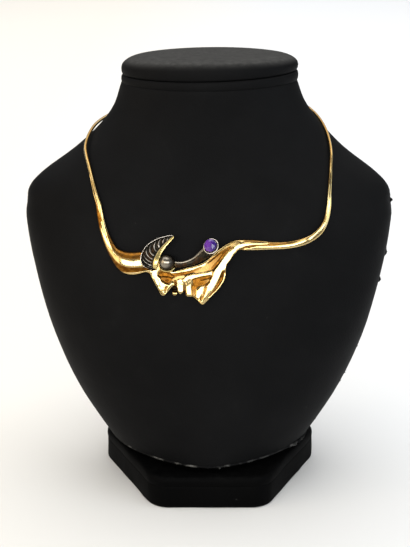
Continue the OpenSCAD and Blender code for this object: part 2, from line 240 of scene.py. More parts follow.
def skin(name, rings, marks=None, sharp=50):
    """Wraps a grid round rings of points in millimetres, and closes its seam and both ends.
    marks gives the piece attributes: a name, and a number for each point of each ring."""
    around = len(rings[0])
    bpy.ops.object.select_all(action="DESELECT")
    bpy.ops.mesh.primitive_grid_add(x_subdivisions=around, y_subdivisions=len(rings) - 1, size=1)
    piece = bpy.context.object
    piece.name = piece.data.name = name
    order = [i % around for i in range(around + 1)]
    piece.data.vertices.foreach_set("co", [c * MM for ring in rings for i in order for c in ring[i]])
    for attribute, rows in (marks or {}).items():
        made = piece.data.attributes.new(attribute, "FLOAT", "POINT")
        made.data.foreach_set("value", [row[i] for row in rows for i in order])
    bpy.ops.object.mode_set(mode="EDIT")
    bpy.ops.mesh.select_all(action="SELECT")
    bpy.ops.mesh.remove_doubles(threshold=0.0001 * MM)
    bpy.ops.mesh.fill_holes(sides=0)
    bpy.ops.mesh.normals_make_consistent(inside=False)
    bpy.ops.object.mode_set(mode="OBJECT")
    bpy.ops.object.shade_smooth_by_angle(angle=math.radians(sharp))
    return piece


def finish_piece(piece, material, node):
    """Gives a piece its finish, and puts it in the place of a part of the built model."""
    piece.data.materials.clear()
    piece.data.materials.append(material)
    if node:
        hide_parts(node)
    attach(piece, "root")


def uneven(point, scale, amount):
    """A point moved sideways by a slow, random waviness, in millimetres."""
    place = Vector(point) / scale
    other = place + Vector((9, 9, 9))
    return Vector(point) + amount * Vector((noise.noise(place), noise.noise(other), 0))


base_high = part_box("pedestal")[1]
base_half_width = base_high[0] / MM
base_half_depth = base_high[1] / MM
base_height = base_high[2] / MM
base_shift = 0.5
base_front_edge, side_round, front_round, board_seam = 61.6, 15, 13, 12.5
# How far a sharp side corner would reach past the round one, as a share of its radius
corner_reach = 0.16
waviness, top_wear = 0.5, 0.01


def base_ring(inset, z):
    """Outline of a board: six straight sides with round corners."""
    half_edge = (base_front_edge - inset) / 2
    half_width = base_half_width + side_round * corner_reach - inset
    half_depth = base_half_depth - inset
    corners = [Vector(c) for c in ((half_width, 0, z), (half_edge, half_depth, z),
                                   (-half_edge, half_depth, z), (-half_width, 0, z),
                                   (-half_edge, -half_depth, z), (half_edge, -half_depth, z))]
    arc_steps, side_steps = 12, 10
    arcs = []
    for i, corner in enumerate(corners):
        base_round = front_round if i % 3 else side_round
        before = (corners[i - 1] - corner).normalized()
        after = (corners[(i + 1) % 6] - corner).normalized()
        half_angle = before.angle(after) / 2
        centre = corner + (before + after).normalized() * base_round / math.sin(half_angle)
        start = corner + before * base_round / math.tan(half_angle) - centre
        end = corner + after * base_round / math.tan(half_angle) - centre
        arcs.append([centre + base_round * start.slerp(end, j / arc_steps) for j in range(arc_steps + 1)])
    ring = []
    for i, arc in enumerate(arcs):
        ring += arc
        side_end = arcs[(i + 1) % 6][0]
        ring += [arc[-1].lerp(side_end, j / side_steps) for j in range(1, side_steps)]
    return [p + Vector((base_shift, 0, 0)) for p in ring]


# How far each ring lies inside the lower board's outline, and its height
board_profile = [(1.6, 0), (0.7, 0.1), (0.2, 0.6), (0, 1.6), (0.1, 8), (0.15, 10.6), (0.2, 11.6),
                 (0.3, 12.2), (0.45, board_seam), (0.3, 12.8), (0.15, 13.5), (0, 15), (0.2, 16.6),
                 (0.8, 17.5), (2, base_height), (5, base_height + 0.1), (9, base_height)]
base_rings = [base_ring(inset, z) for inset, z in board_profile]
base_rings = [[uneven(p, 12, waviness if 0.3 < p.z < 17.9 else 0) for p in ring] for ring in base_rings]
base_wear = [[top_wear if inset > 0.5 and z > 17 else 0 for p in ring]
             for (inset, z), ring in zip(board_profile, base_rings)]
base = skin("base_boards", base_rings, {"worn": base_wear})
finish_piece(base, base_leatherette, "pedestal")

# Spacer
# A short black disc joins the base to the chest and leaves a dark gap between them.
# Only its front shows, deep in the shadow under the chest.

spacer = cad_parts["spacer"]
spacer.data.materials.clear()
spacer.data.materials.append(base_leatherette)

# Bust
# A light moulded form from the shoulders to the neck, wrapped in black leatherette.
# The front covering ends in a cut edge down both sides and round the bottom.

# Height, half width, y of the widest line, y of the front, y of the back, roundness of the front
chest_table = [
    (21, 56.5, -9, -60, 31, 1.6),
    (33, 64, -9, -61.2, 34, 1.7),
    (50, 73.8, -9, -62.2, 37.5, 1.8),
    (70, 82.6, -9, -62.5, 40.5, 1.9),
    (95, 90.7, -9, -60.8, 43, 2),
    (125, 97.4, -8.6, -54.6, 44.5, 2),
    (150, 100.8, -6.2, -47.6, 43.5, 2),
    (158, 100, -5.4, -45.3, 42.8, 2),
    (164, 99.2, -4.9, -43.6, 42, 2),
    (169, 96.2, -4.4, -42.3, 41.3, 2),
    (174, 90.8, -3.9, -41, 40.5, 2),
    (186, 74.5, -2.8, -38.4, 38.5, 2),
    (198, 61.8, -1.7, -36.4, 36.8, 2),
    (210, 52.5, -0.6, -35.3, 35.5, 2),
    (223, 47.2, 0, -35, 35, 2),
]
back_roundness = 2.3
neck_half_width, neck_half_depth = 47.5, 35
# The neck leans to the right by this much at this height, and less over this distance from it
neck_lean, lean_height, lean_reach = 1.1, 203, 14
chest_bottom, chest_top = chest_table[0][0], chest_table[-1][0]


def chest_section(z):
    """The row of chest_table for any height, on a smooth curve through the rows."""
    last = len(chest_table) - 1
    i = max(0, min(sum(row[0] <= z for row in chest_table) - 1, last - 1))
    a, b, c, d = (chest_table[j] for j in (max(i - 1, 0), i, i + 1, min(i + 2, last)))
    h = c[0] - b[0]
    t = (z - b[0]) / h
    section = []
    for n in range(len(b)):
        slope_b = h * (c[n] - a[n]) / (c[0] - a[0])
        slope_c = h * (d[n] - b[n]) / (d[0] - b[0])
        section.append(b[n] * (1 - 3 * t ** 2 + 2 * t ** 3) + slope_b * (t - 2 * t ** 2 + t ** 3)
                       + c[n] * (3 * t ** 2 - 2 * t ** 3) + slope_c * (t ** 3 - t ** 2))
    return section


def before_chest(x, z, forward):
    """The point in front of the chest that is seen at x and z, in millimetres."""
    _, half_width, middle, front, _, roundness = chest_section(z)
    across = min(abs(x) / half_width, 1)
    depth = (1 - across ** roundness) ** (1 / roundness)
    return Vector((x, middle + (front - middle) * depth - forward, z))


def chest_point(z, inset, angle):
    """A point on the outline of the chest: angle 0 is its right side and -90 its front."""
    _, half_width, middle, front, back, roundness = chest_section(z)
    roundness, reach = (roundness, middle - front) if angle < 0 else (back_roundness, back - middle)
    c, s = math.cos(math.radians(angle)), math.sin(math.radians(angle))
    lean = neck_lean * math.exp(-((z - lean_height) / lean_reach) ** 2)
    return Vector((lean + math.copysign(abs(c) ** (2 / roundness), c) * (half_width - inset),
                   middle + math.copysign(abs(s) ** (2 / roundness), s) * (reach - inset), z))


def neck_lift(x, sag, tilt):
    """How much higher the neck's rings lie at x than at the front: they hang at the sides and tilt."""
    share = x / neck_half_width
    return tilt * share - sag * share ** 2


# Sag and tilt of the top of the chest, and the height over which they come in
top_sag, top_tilt, top_blend = -0.6, 0.7, 9


def chest_ring(z, inset, corners=192):
    """A ring round the chest, which sags and tilts near the top as the neck does."""
    ring = [uneven(chest_point(z, inset, 360 * (i + 0.5) / corners - 180), 30, 0.25) for i in range(corners)]
    near_top = max(0, (z - chest_top + top_blend) / top_blend)
    return [p + Vector((0, 0, near_top * neck_lift(p.x, top_sag, top_tilt))) for p in ring]


levels = [(21, 1.6), (21.15, 0.8), (21.5, 0.3), (22.2, 0)]
levels += [(z, 0) for z in range(24, 222, 2)]
levels += [(222.2, 0), (222.7, 0.2), (223, 0.8)]
bust = skin("bust_form", [chest_ring(z, inset) for z, inset in levels])
finish_piece(bust, bust_leatherette, "bust")

# Cut edge
# The glued edge of the front covering runs down both sides of the bust and round its bottom.
# It is trimmed by hand, so it stands off in lumps, and it is rubbed grey along the bottom.

# Lumps that stand off: side (1 right, -1 left), height, how far they stand off, half length
lumps = [
    (1, 158, 0.7, 1), (1, 129, 0.5, 2), (1, 113, 0.9, 1.6), (1, 78, 0.6, 3), (1, 72.5, 0.7, 1),
    (1, 57, 0.8, 1.8), (1, 50, 1.1, 2), (1, 27, 1, 1), (-1, 25, 0.8, 1.5), (-1, 61, 0.4, 2),
]
# Rubbed places of the bottom edge: x, half length, amount
rubs = [(-45, 4, 0.6), (-28, 3.5, 0.9), (-17, 1.6, 0.9), (-10, 3, 1), (12, 6.5, 0.9), (28, 8, 0.4),
        (46, 7, 0.6)]
# Lumps of the bottom edge: x, half length, how far they stand off
bottom_lumps = [(50, 5, 1), (5.7, 0.6, 1.4)]
edge_top = 172
edge_lift, edge_sunk, edge_half_width = 0.7, 0.5, 0.75


def swell(place, middle, half_length):
    """1 at the middle of a lump, and near 0 past its half length."""
    return math.exp(-((place - middle) / half_length) ** 4)


def edge_ring(point, outward, along, height, half_width):
    """A small oval section of the cut edge, which stands off the bust by height."""
    side = outward.cross(along).normalized()
    middle = point + outward * (height - edge_sunk) * 0.5
    steps = 10
    ring = []
    for i in range(steps):
        turn = 2 * math.pi * i / steps
        out = outward * (height + edge_sunk) * 0.5 * math.cos(turn)
        ring.append(middle + out + side * half_width * math.sin(turn))
    return ring


edge_rings = []
edge_wear = []
side_steps, bottom_steps = 420, 260
for i in range(2 * side_steps + bottom_steps + 1):
    on_left = i < side_steps
    on_bottom = side_steps <= i <= side_steps + bottom_steps
    if on_bottom:
        angle = -180 + 180 * (i - side_steps) / bottom_steps
        point = chest_point(chest_bottom + edge_lift, 0, min(angle, -0.001))
        outward = Vector((math.cos(math.radians(angle)), math.sin(math.radians(angle)), -0.4)).normalized()
        along = Vector((-outward.y, outward.x, 0)).normalized()
        rough = 0.12 + sum(size * swell(point.x, x, half_length) for x, half_length, size in bottom_lumps)
        wear = max(amount * swell(point.x, x, half_length) for x, half_length, amount in rubs)
    else:
        share = i / side_steps if on_left else (2 * side_steps + bottom_steps - i) / side_steps
        z = edge_top + (chest_bottom + edge_lift - edge_top) * share
        side = -1 if on_left else 1
        point = chest_point(z, 0, -180 if on_left else -0.001)
        outward = Vector((side, 0, 0))
        along = (chest_point(z - 1, 0, 0) - chest_point(z + 1, 0, 0)).normalized()
        along = Vector((0, along.y, along.z)).normalized()
        rough = 0.1 + 1.1 * max(size * swell(z, height, half_length)
                                for where, height, size, half_length in lumps if where == side)
        wear = 0.25 if 40 < z < 80 else 0.1
    grain = noise.noise(point * 0.7) * 0.6 + noise.noise(point * 2.1) * 0.4
    stand_off = 0.12 + rough * (1.2 + 1.6 * grain)
    half_width = edge_half_width + 0.3 * grain
    edge_rings.append(edge_ring(point, outward, along, max(stand_off, 0.02), half_width))
    edge_wear.append([wear] * len(edge_rings[-1]))
cut_edge = skin("cut_edge", edge_rings, {"worn": edge_wear}, 80)
finish_piece(cut_edge, bust_leatherette, None)

# Welt and padded top
# A raised band runs round the neck between two grooves, and a soft pad closes its top.
# Both are leatherette over foam, drawn in where they are stitched down.


def row_at(table, k):
    """The row of a table at a fractional row number, on a smooth curve through the rows."""
    i = min(int(k), len(table) - 2)
    t = k - i
    a, b, c, d = (table[j] for j in (max(i - 1, 0), i, i + 1, min(i + 2, len(table) - 1)))
    return [b[n] + ((c[n] - a[n]) * t + (2 * a[n] - 5 * b[n] + 4 * c[n] - d[n]) * t ** 2
                    + (3 * b[n] - a[n] - 3 * c[n] + d[n]) * t ** 3) / 2 for n in range(len(b))]


def row_numbers(table, steps):
    """Numbers from the first row of a table to its last, with this many steps between rows."""
    return [i / steps for i in range((len(table) - 1) * steps + 1)]


def smooth_rows(table, steps):
    """A table with more rows, on a smooth curve through the rows."""
    return [row_at(table, k) for k in row_numbers(table, steps)]


def limited(value):
    """A value kept between 0 and 1."""
    return max(0, min(1, value))


neck_corners, neck_shift = 160, 0.35


def neck_ring(inset, z, sag, tilt):
    """A ring round the neck, which hangs by sag at both sides and is higher at the right by tilt."""
    ring = []
    for i in range(neck_corners):
        angle = 2 * math.pi * i / neck_corners
        x = neck_shift + (neck_half_width - inset) * math.cos(angle)
        y = (neck_half_depth - inset) * math.sin(angle)
        ring.append(uneven((x, y, z + neck_lift(x, sag, tilt)), 20, 0.15))
    return ring


# How far each ring lies inside the neck's oval, its height at the front, its sag and its tilt
welt_profile = [(1.9, 222.2, -0.6, 0.7), (0.9, 222.3, -0.6, 0.75), (0.2, 222.8, -0.6, 0.8),
                (-0.1, 223.7, -0.6, 0.9), (-0.2, 224.8, -0.6, 1), (-0.1, 225.9, -0.55, 1.1),
                (0.2, 226.8, -0.5, 1.2), (0.9, 227.3, -0.5, 1.25), (1.9, 227.35, -0.5, 1.3)]
top_profile = [(1.9, 227.5, -0.5, 1.3), (1, 227.6, -0.5, 1.3), (0.4, 228.2, -0.5, 1.3),
               (0.1, 229.5, -0.2, 1.25), (0, 231.2, 0.3, 1.15), (0.2, 233, 0.9, 1), (0.7, 234.4, 1.3, 0.9),
               (1.6, 235.5, 1.5, 0.85), (3, 236.3, 1.4, 0.8), (5.5, 237, 1.1, 0.7), (9.5, 237.4, 0.7, 0.5),
               (16, 237.6, 0.4, 0.35), (24, 237.6, 0.15, 0.2), (32, 237.6, 0, 0.1)]
welt = skin("neck_welt", [neck_ring(*row) for row in smooth_rows(welt_profile, 2)])
finish_piece(welt, bust_leatherette, "welt")
top_rows = smooth_rows(top_profile, 2)
# Painted sheen: the pad's top is painted lighter from just inside its edge inwards, where light from above
# falls
sheen_start, sheen_fade, sheen_height = 0.2, 3, 233
top_sheen = [[limited((inset - sheen_start) / sheen_fade) if z > sheen_height else 0] * neck_corners
            for inset, z, _, _ in top_rows]
padded_top = skin("padded_top", [neck_ring(*row) for row in top_rows], {"dust_and_sheen": top_sheen})
finish_piece(padded_top, bust_leatherette, "neck_cap")

# Collar
# One soldered casting in polished golden bronze: a drawn wire that thickens into a swelling horn,
# a sheet melted into folds, and a flat bar that turns up into wire again at the right.

# Wire of the left side, from the clasp to the chest: x, y, z, radius
left_wire = [
    (-4.7, 44, 209.4, 0.85),
    (-14, 43.3, 209, 0.85),
    (-27, 40.3, 207.8, 0.85),
    (-39.5, 34.2, 206, 0.85),
    (-48.9, 25.6, 203.3, 0.85),
    (-55.6, 16, 201.4, 0.85),
    (-60, 6, 200, 0.85),
    (-62.7, -2, 198.3, 0.87),
    (-64.9, -10.3, 194.9, 0.9),
    (-66, -17.6, 190.6, 0.9),
    (-65.3, -21.8, 187, 0.93),
    (-63.9, -25.8, 183, 0.96),
    (-62.4, -29.7, 178.4, 0.95),
    (-60.9, -33.3, 173.3, 1.1),
    (-59.5, -35.9, 168.7, 1.3),
]
# Wire of the right side, from the chest to the clasp: x, y, z, radius
right_wire = [
    (63.8, -32.3, 172.9, 0.95),
    (64.2, -29.1, 177.8, 0.95),
    (64.6, -25.6, 182.3, 0.9),
    (65, -21.2, 187.9, 0.85),
    (64.4, -14.5, 193.4, 0.82),
    (62.8, -7, 198.2, 0.82),
    (59.8, 1.5, 202.6, 0.82),
    (55.5, 10.5, 205.9, 0.82),
    (49.4, 21, 208.2, 0.84),
    (40.5, 31.8, 209.6, 0.85),
    (28, 39.8, 210, 0.85),
    (14, 43.3, 209.8, 0.85),
    (4.7, 44, 209.4, 0.85),
]
# Sections across the chest, from left to right: inner edge x and z, outer edge x and z, thickness
collar_table = [
    (-56.7, 164.4, -59.5, 163.8, 2.3),
    (-55.2, 157.6, -58.5, 156.8, 2.6),
    (-53.7, 152.6, -57.4, 151.3, 3),
    (-51.8, 148.1, -55.7, 146.2, 3.5),
    (-49.6, 144.4, -53.6, 141.3, 4.1),
    (-47.3, 142.3, -50.9, 136.7, 4.9),
    (-44.6, 141.4, -47.9, 132.7, 5.8),
    (-41.7, 141.2, -43.6, 130.3, 6.3),
    (-38.6, 141.3, -39.7, 129.9, 6.2),
    (-35.6, 141.5, -36, 130.5, 5.5),
    (-32.4, 140.6, -32.8, 131.3, 4.2),
    (-29.7, 139.4, -30.8, 129.9, 3),
    (-27.1, 138, -28.7, 126.5, 2.3),
    (-24.5, 136.5, -26.6, 122.8, 2),
    (-22.2, 134.9, -24.9, 119.8, 1.8),
    (-20, 133.3, -23.2, 119.9, 1.8),
    (-18.8, 132.5, -21.2, 122, 1.8),
    (-18, 132.4, -19.6, 123.3, 1.8),
    (-17.4, 132.5, -18.6, 120.2, 1.8),
    (-16.9, 132.7, -16.9, 120.3, 1.8),
    (-16.4, 132.8, -16.3, 122, 1.8),
    (-15.4, 133, -15, 120.7, 1.8),
    (-14.1, 133.4, -13.6, 121.6, 1.8),
    (-13, 133.7, -12.7, 122.3, 1.8),
    (-12, 134, -12, 119.8, 1.8),
    (-10.4, 134.4, -10.2, 119.5, 1.8),
    (-8.3, 134.9, -8.1, 119, 1.8),
    (-6.2, 135.5, -5.7, 117.2, 1.8),
    (-4.2, 136.2, -3.3, 115.4, 1.8),
    (-2.1, 137.3, -1, 117.1, 1.8),
    (0, 138.8, 1.3, 119.5, 1.8),
    (1.8, 140.4, 3.9, 122, 1.8),
    (3.6, 142, 6.3, 124.8, 1.8),
    (5.5, 143.4, 8.4, 128.3, 1.8),
    (7.3, 144.6, 8.7, 131.8, 1.8),
    (9.1, 145.7, 9, 135.5, 1.9),
    (10.9, 146.6, 10.9, 138, 2),
    (13, 147.4, 13, 140.9, 2.2),
    (15.6, 147.8, 15.9, 142.7, 2.5),
    (19.3, 147.7, 19.5, 142.6, 2.5),
    (25.5, 147.2, 25.5, 142.5, 2.4),
    (32.9, 146.2, 32.9, 142.5, 2.3),
    (40.6, 145.9, 40.8, 142.5, 2.2),
    (47.9, 146.8, 48.8, 143.5, 2.2),
    (53.4, 148.7, 55.2, 145.9, 2.2),
    (57.8, 152.1, 60, 149.6, 2.2),
    (60.7, 156.7, 62.9, 155, 2.1),
    (62, 162.6, 64.3, 161.7, 1.9),
    (62.6, 168.4, 64.5, 167.8, 1.8),
]
# Lines along the folds, bands and hollows: x, z, height over the plain form, half width of its flat
# top, and tarnish with painted shade (0 polished, 1 brown, 2 black): brown is patina in the hollows
# and painted dark reflection on the horn and bars, and black is painted shadow in holes, gaps and creases
folds = {
    "bright band of the left bar and horn": [(-56.4, 154.7, 0, 0.25, 0), (-55.4, 151.8, 0, 0.35, 0),
        (-54, 147.3, 0, 0.5, 0.1), (-51.9, 142.8, 0, 0.6, 0.15), (-49.5, 139.7, 0, 0.7, 0.15),
        (-46.6, 137.2, 0, 0.9, 0.1), (-42.9, 136.4, 0, 1.1, 0.05), (-37.6, 136.4, 0, 1.2, 0),
        (-31.8, 136.2, 0, 1.3, 0)],
    # The brown bands above and below the horn's bright band are painted dark reflection over some patina
    "brown band above the bright one": [(-52.7, 148.9, 0, 0.3, 0.8), (-51.1, 144.9, 0, 0.4, 0.85),
        (-48.7, 142.1, 0, 0.5, 0.85), (-45.5, 140.3, 0, 0.6, 0.9), (-40.7, 140, 0, 0.7, 0.9),
        (-32.8, 140.1, 0, 0.8, 0.9)],
    "brown band below the bright one": [(-57.5, 151.1, 0, 0.3, 0.8), (-56.4, 146.1, 0, 0.4, 1),
        (-54.8, 142.1, 0, 0.6, 1.05), (-53, 138.9, 0, 0.8, 1.05), (-50.1, 135.6, 0, 1, 1.1),
        (-46.1, 133.3, -0.1, 1, 1.15), (-41.3, 132.6, -0.5, 0.7, 1.2), (-35, 133.1, -0.7, 0.5, 1.3),
        (-30.2, 133.5, -0.5, 0.5, 1.2)],
    "lower lip of the horn": [(-58.6, 147.9, 0, 0.2, 0), (-57.3, 143.2, 0, 0.2, 0.1),
        (-55.1, 139, 0, 0.25, 0.2), (-52.5, 134.9, 0, 0.25, 0.3), (-48.8, 131.9, 0.1, 0.3, 0.5),
        (-44.5, 130.6, 0.2, 0.4, 0.3), (-39.2, 131, 0.2, 0.45, 0.1), (-34.4, 131.7, 0.2, 0.4, 0.1),
        (-30.8, 132.3, 0.2, 0.3, 0)],
    # The middle of the left bar is painted brown: patina in its gutter and painted dark reflection
    "middle of the left bar": [(-62.9, 171.7, 0, 0.3, 0.6), (-60.4, 164.5, 0, 0.5, 1.05),
        (-58.2, 157.6, 0, 0.55, 1.15), (-56.9, 153.2, 0, 0.4, 1)],
    "left edge of the left bar": [(-66, 177.1, 0, 0.15, 0), (-64.2, 170.7, 0, 0.15, 0),
        (-62.3, 162.9, 0, 0.15, 0), (-60, 156, 0, 0.15, 0), (-58.7, 151, 0, 0.12, 0.1)],
    "right edge of the left bar": [(-62.1, 175.6, 0, 0.12, 0.1), (-59.6, 169.1, 0, 0.12, 0),
        (-57.4, 163.2, 0, 0.12, 0), (-55.6, 157.8, 0, 0.12, 0.1)],
    "left band of the drape": [(-28.9, 131.2, 0.5, 1.1, 0), (-27.9, 128.5, 0.9, 1.8, 0),
        (-26.4, 125.5, 1.2, 1.9, 0), (-25, 123, 1.4, 1.7, 0), (-24, 120.7, 1.5, 1.2, 0)],
    "dark line left of the drape": [(-31.6, 130.4, 0, 0.2, 1.1), (-30, 126.9, 0.1, 0.25, 1.2),
        (-27.9, 122.9, 0.1, 0.2, 1)],
    "hollow under the leaf": [(-26, 130, -0.3, 0.4, 1), (-22.4, 129.9, -0.5, 0.5, 1.05),
        (-19.3, 129.7, -0.3, 0.4, 0.9)],
    "floor of the hollow under the leaf": [(-24.2, 128.1, 0, 0.6, 0.9), (-21.3, 128, 0, 0.7, 1),
        (-22.2, 126.7, -0.1, 0.5, 1.1)],
    "crease": [(-23.1, 122.1, 0.4, 0.12, 0.9), (-22.2, 124, 0.4, 0.15, 0.8)],
    "foot of the left band": [(-24.8, 124.9, 1.2, 1.2, 0), (-22.6, 125, 1, 0.5, 0.1)],
    "small fold": [(-21.6, 122.6, 0.9, 0.5, 0.15), (-20.3, 124.1, 0.9, 0.5, 0.2),
        (-18.7, 125.6, 0.9, 0.4, 0.05)],
    # This dark line, the hole and the gap above the tooth are painted black: painted shadow in dents and
    # creases
    "dark line beside the first fold": [(-17.6, 127.1, 0.4, 0.12, 0.9), (-17.3, 125, 0.2, 0.2, 1.4)],
    "hole": [(-18.6, 123.6, -0.9, 0.75, 2), (-17, 123.5, -0.6, 0.4, 2)],
    "tooth": [(-19, 121.1, 1.3, 0.6, 0), (-17.2, 120.8, 1.5, 0.7, 0)],
    "gap above the tooth": [(-19.8, 122.2, -0.2, 0.3, 2), (-16.9, 122.3, -0.2, 0.3, 2)],
    "first fold": [(-15.1, 127.1, 0.9, 0.9, 0.05), (-15.2, 125.4, 1.2, 1.3, 0),
        (-14.9, 122.3, 1.5, 1.1, 0)],
    "gold line over the first fold": [(-18, 128.3, 0.5, 0.2, 0.55), (-15.3, 129.1, 0.5, 0.2, 0.55),
        (-13.5, 129.3, 0.6, 0.2, 0.5)],
    "groove after the first fold": [(-12.8, 126.4, 0.7, 0.2, 0.5), (-12.7, 123.9, 0.5, 0.3, 0.75),
        (-12.5, 120.8, 0.5, 0.3, 0.9)],
    "second fold": [(-10.6, 124.9, 1, 0.8, 0), (-10.5, 122.9, 1.2, 1, 0), (-10.4, 120.9, 1.4, 0.9, 0)],
    "shelf": [(-12.5, 127.9, 1.3, 0.7, 0), (-10.7, 129.1, 1.4, 0.8, 0), (-7.8, 129.9, 1.3, 0.7, 0),
        (-4.2, 130.6, 1.2, 0.5, 0), (1, 131.2, 1.2, 0.4, 0.1)],
    "slanting fold": [(-10.1, 127.9, 1.2, 0.5, 0), (-11.5, 125.9, 1.1, 0.35, 0)],
    "hollow under the shelf": [(-7.5, 128, 0.3, 0.5, 1), (-3.1, 129.1, 0.2, 0.6, 1.1),
        (0.5, 129.8, 0.3, 0.4, 1)],
    "floor of the hollow under the shelf": [(-6.8, 125.7, 0.3, 0.6, 1.05), (-3.4, 126.5, 0.4, 0.7, 0.95),
        (-0.3, 127.8, 0.6, 0.5, 0.75)],
    "strip after the second fold": [(-8.3, 124.5, 0.2, 0.4, 1), (-8, 121.9, 0.3, 0.5, 0.8),
        (-7.5, 119.4, 0.4, 0.4, 0.5)],
    "bright lens": [(-3.6, 123.5, 0.9, 0.8, 0), (-4.8, 121.4, 1.2, 1.4, 0), (-5.7, 119.2, 1.4, 1, 0)],
    "olive groove": [(-1.8, 124.3, 0.7, 0.3, 0.7), (-3, 121.2, 0.6, 0.35, 0.9),
        (-4.2, 118.7, 0.6, 0.35, 0.9)],
    "main ridge": [(29.7, 145.9, 0, 0.45, 0), (22.4, 146, 0.1, 0.5, 0), (18.2, 145.6, 0.4, 0.7, 0),
        (14.9, 144.4, 0.8, 1.1, 0), (10.9, 141.2, 1.4, 1.4, 0), (8.1, 137.5, 1.9, 1.4, 0),
        (5.4, 133.2, 2.3, 1.7, 0), (3.5, 129.3, 2.5, 1.7, 0), (0.2, 123.6, 2.7, 1.7, 0),
        (-2.2, 119.9, 2.7, 1.2, 0), (-3.5, 117.7, 2.4, 0.7, 0)],
    "pocket right of the ridge": [(7.2, 132.5, 0.7, 0.3, 1), (6.3, 129.5, 0.3, 0.6, 1.4),
        (4.8, 126.3, 0.3, 0.5, 1.3), (2.9, 123.5, 0.5, 0.2, 0.9), (0, 120.2, 0.6, 0.15, 0.7)],
    "right rim": [(8.7, 130.5, 1, 0.3, 0), (8, 127.5, 1, 0.35, 0), (4.9, 123.2, 1.3, 0.5, 0),
        (1.3, 119.9, 1.6, 0.6, 0), (-2.3, 116.9, 1.6, 0.6, 0)],
    "upper lip": [(-19.3, 131.7, 0.7, 0.3, 0), (-16.1, 132.5, 0.8, 0.7, 0), (-12, 133.5, 0.9, 0.9, 0),
        (-8.3, 134.4, 0.9, 0.8, 0), (-4.9, 135.7, 0.9, 0.6, 0), (-1.6, 137.6, 0.8, 0.4, 0.1),
        (2.1, 140.1, 0.7, 0.25, 0.1), (5.7, 142.6, 0.6, 0.25, 0.1), (9.9, 145, 0.4, 0.25, 0.3),
        (15.1, 146.4, 0.1, 0.2, 0.5)],
    "line under the lip": [(-19.3, 130.3, 0.3, 0.2, 1), (-15.1, 131.1, 0.4, 0.2, 1.1),
        (-9.9, 131.9, 0.5, 0.2, 0.95), (-5.2, 133.8, 0.7, 0.15, 0.8)],
    "golden floor beside the shelf": [(-6.8, 132, 0.6, 0.4, 0.7), (-3.1, 133.1, 0.7, 0.8, 0.65),
        (0, 134.8, 0.9, 1, 0.7), (3.1, 137.6, 1, 0.9, 0.8), (6.2, 140.8, 0.9, 0.6, 0.9)],
    "line between lip and flank": [(0, 137.8, 0.7, 0.12, 0.9), (3.4, 140.2, 0.7, 0.12, 1),
        (6.8, 142.6, 0.6, 0.15, 1), (10.4, 144.5, 0.4, 0.2, 0.9)],
    "brown flank of the ridge": [(1.6, 134.3, 1, 0.3, 0.9), (4.4, 136.8, 1.2, 0.4, 1.05),
        (7, 140, 1.2, 0.3, 1.05), (9.6, 142.7, 1, 0.25, 1), (12.5, 144.4, 0.6, 0.2, 0.8)],
    # The groove, upper edge and middle of the right bar are painted brown: patina and painted dark
    # reflection
    "groove of the right bar": [(15.1, 142.5, 0, 0.2, 0.6), (19.2, 144.5, -0.2, 0.15, 0.9),
        (24.5, 145, -0.3, 0.15, 1), (34.4, 144.8, -0.3, 0.15, 0.9), (43.4, 145.2, -0.3, 0.15, 0.8),
        (50.8, 147.2, -0.2, 0.15, 0.6)],
    "lower band of the right bar": [(14, 139, 0.3, 0.3, 0.3), (17.7, 142.1, 0.1, 0.4, 0),
        (24.5, 143.9, 0, 0.45, 0), (34.4, 143.8, 0, 0.45, 0), (43.4, 144.3, 0, 0.4, 0),
        (50.8, 146.5, 0, 0.35, 0.1)],
    "upper edge of the right bar": [(19.2, 147.2, 0, 0.2, 0.8), (27.6, 146.9, 0, 0.2, 0.8),
        (39.1, 146.3, 0, 0.2, 0.6), (47.6, 148, 0, 0.2, 0.6)],
    "middle of the right bar": [(61.2, 173.3, 0, 0.25, 0.6), (61.2, 163.5, 0, 0.3, 0.85),
        (60.4, 156.9, 0, 0.3, 0.8), (57.7, 152.6, 0, 0.3, 0.6), (53.5, 149.4, 0, 0.25, 0.5)],
    "outer edge of the right bar": [(63.2, 175.5, 0, 0.25, 0), (63.2, 163.3, 0, 0.3, 0),
        (62.6, 155.8, 0, 0.3, 0), (59.9, 150.9, 0, 0.3, 0), (55.1, 147.5, 0, 0.25, 0)],
}


# How sharply a line holds its own height and tarnish against those of its neighbours
hold_distance_squared, hold_power = 0.04, 1.5


def fold_at(x, z):
    """Height and tarnish at a place. Each line keeps its own, and slopes join it to its neighbours."""
    total = height = brown = 0
    for line in folds.values():
        nearest = 1e9
        for a, b in zip(line, line[1:]):
            run_x, run_z = b[0] - a[0], b[1] - a[1]
            t = limited(((x - a[0]) * run_x + (z - a[1]) * run_z) / (run_x ** 2 + run_z ** 2))
            away = math.hypot(x - a[0] - run_x * t, z - a[1] - run_z * t) - a[3] - (b[3] - a[3]) * t
            if away < nearest:
                nearest, here = away, [a[n] + (b[n] - a[n]) * t for n in (2, 4)]
        weight = (max(nearest, 0) ** 2 + hold_distance_squared) ** -hold_power
        total += weight
        height += weight * here[0]
        brown += weight * here[1]
    return height / total, brown / total


chest_gap = 0.3
front_points, back_points = 112, 28
# Angles of the points round a section: over the front from edge to edge, then back behind it
section_angles = []
for i in range(front_points):
    share = i / front_points
    section_angles.append((math.pi * share + math.acos(1 - 2 * share)) / 2)
for i in range(back_points):
    section_angles.append(math.pi * (1 + i / back_points))


gutter_half_width = 0.22


def side_gutter(x, across):
    """Depth of the shallow gutter along both bars, where they run down the chest."""
    middle, depth = (0.5, 0.5) if x < 0 else (0.3, 0.35)
    return depth * math.exp(-((across - middle) / gutter_half_width) ** 2)


# Rows of collar_table where the gutter ends at the left and starts again at the right
left_gutter_end, right_gutter_start = 4.5, 44.5
# Rows before the first of these and after the second have edges painted brown, a painted shade
left_brown_end, right_brown_start = 13, 37


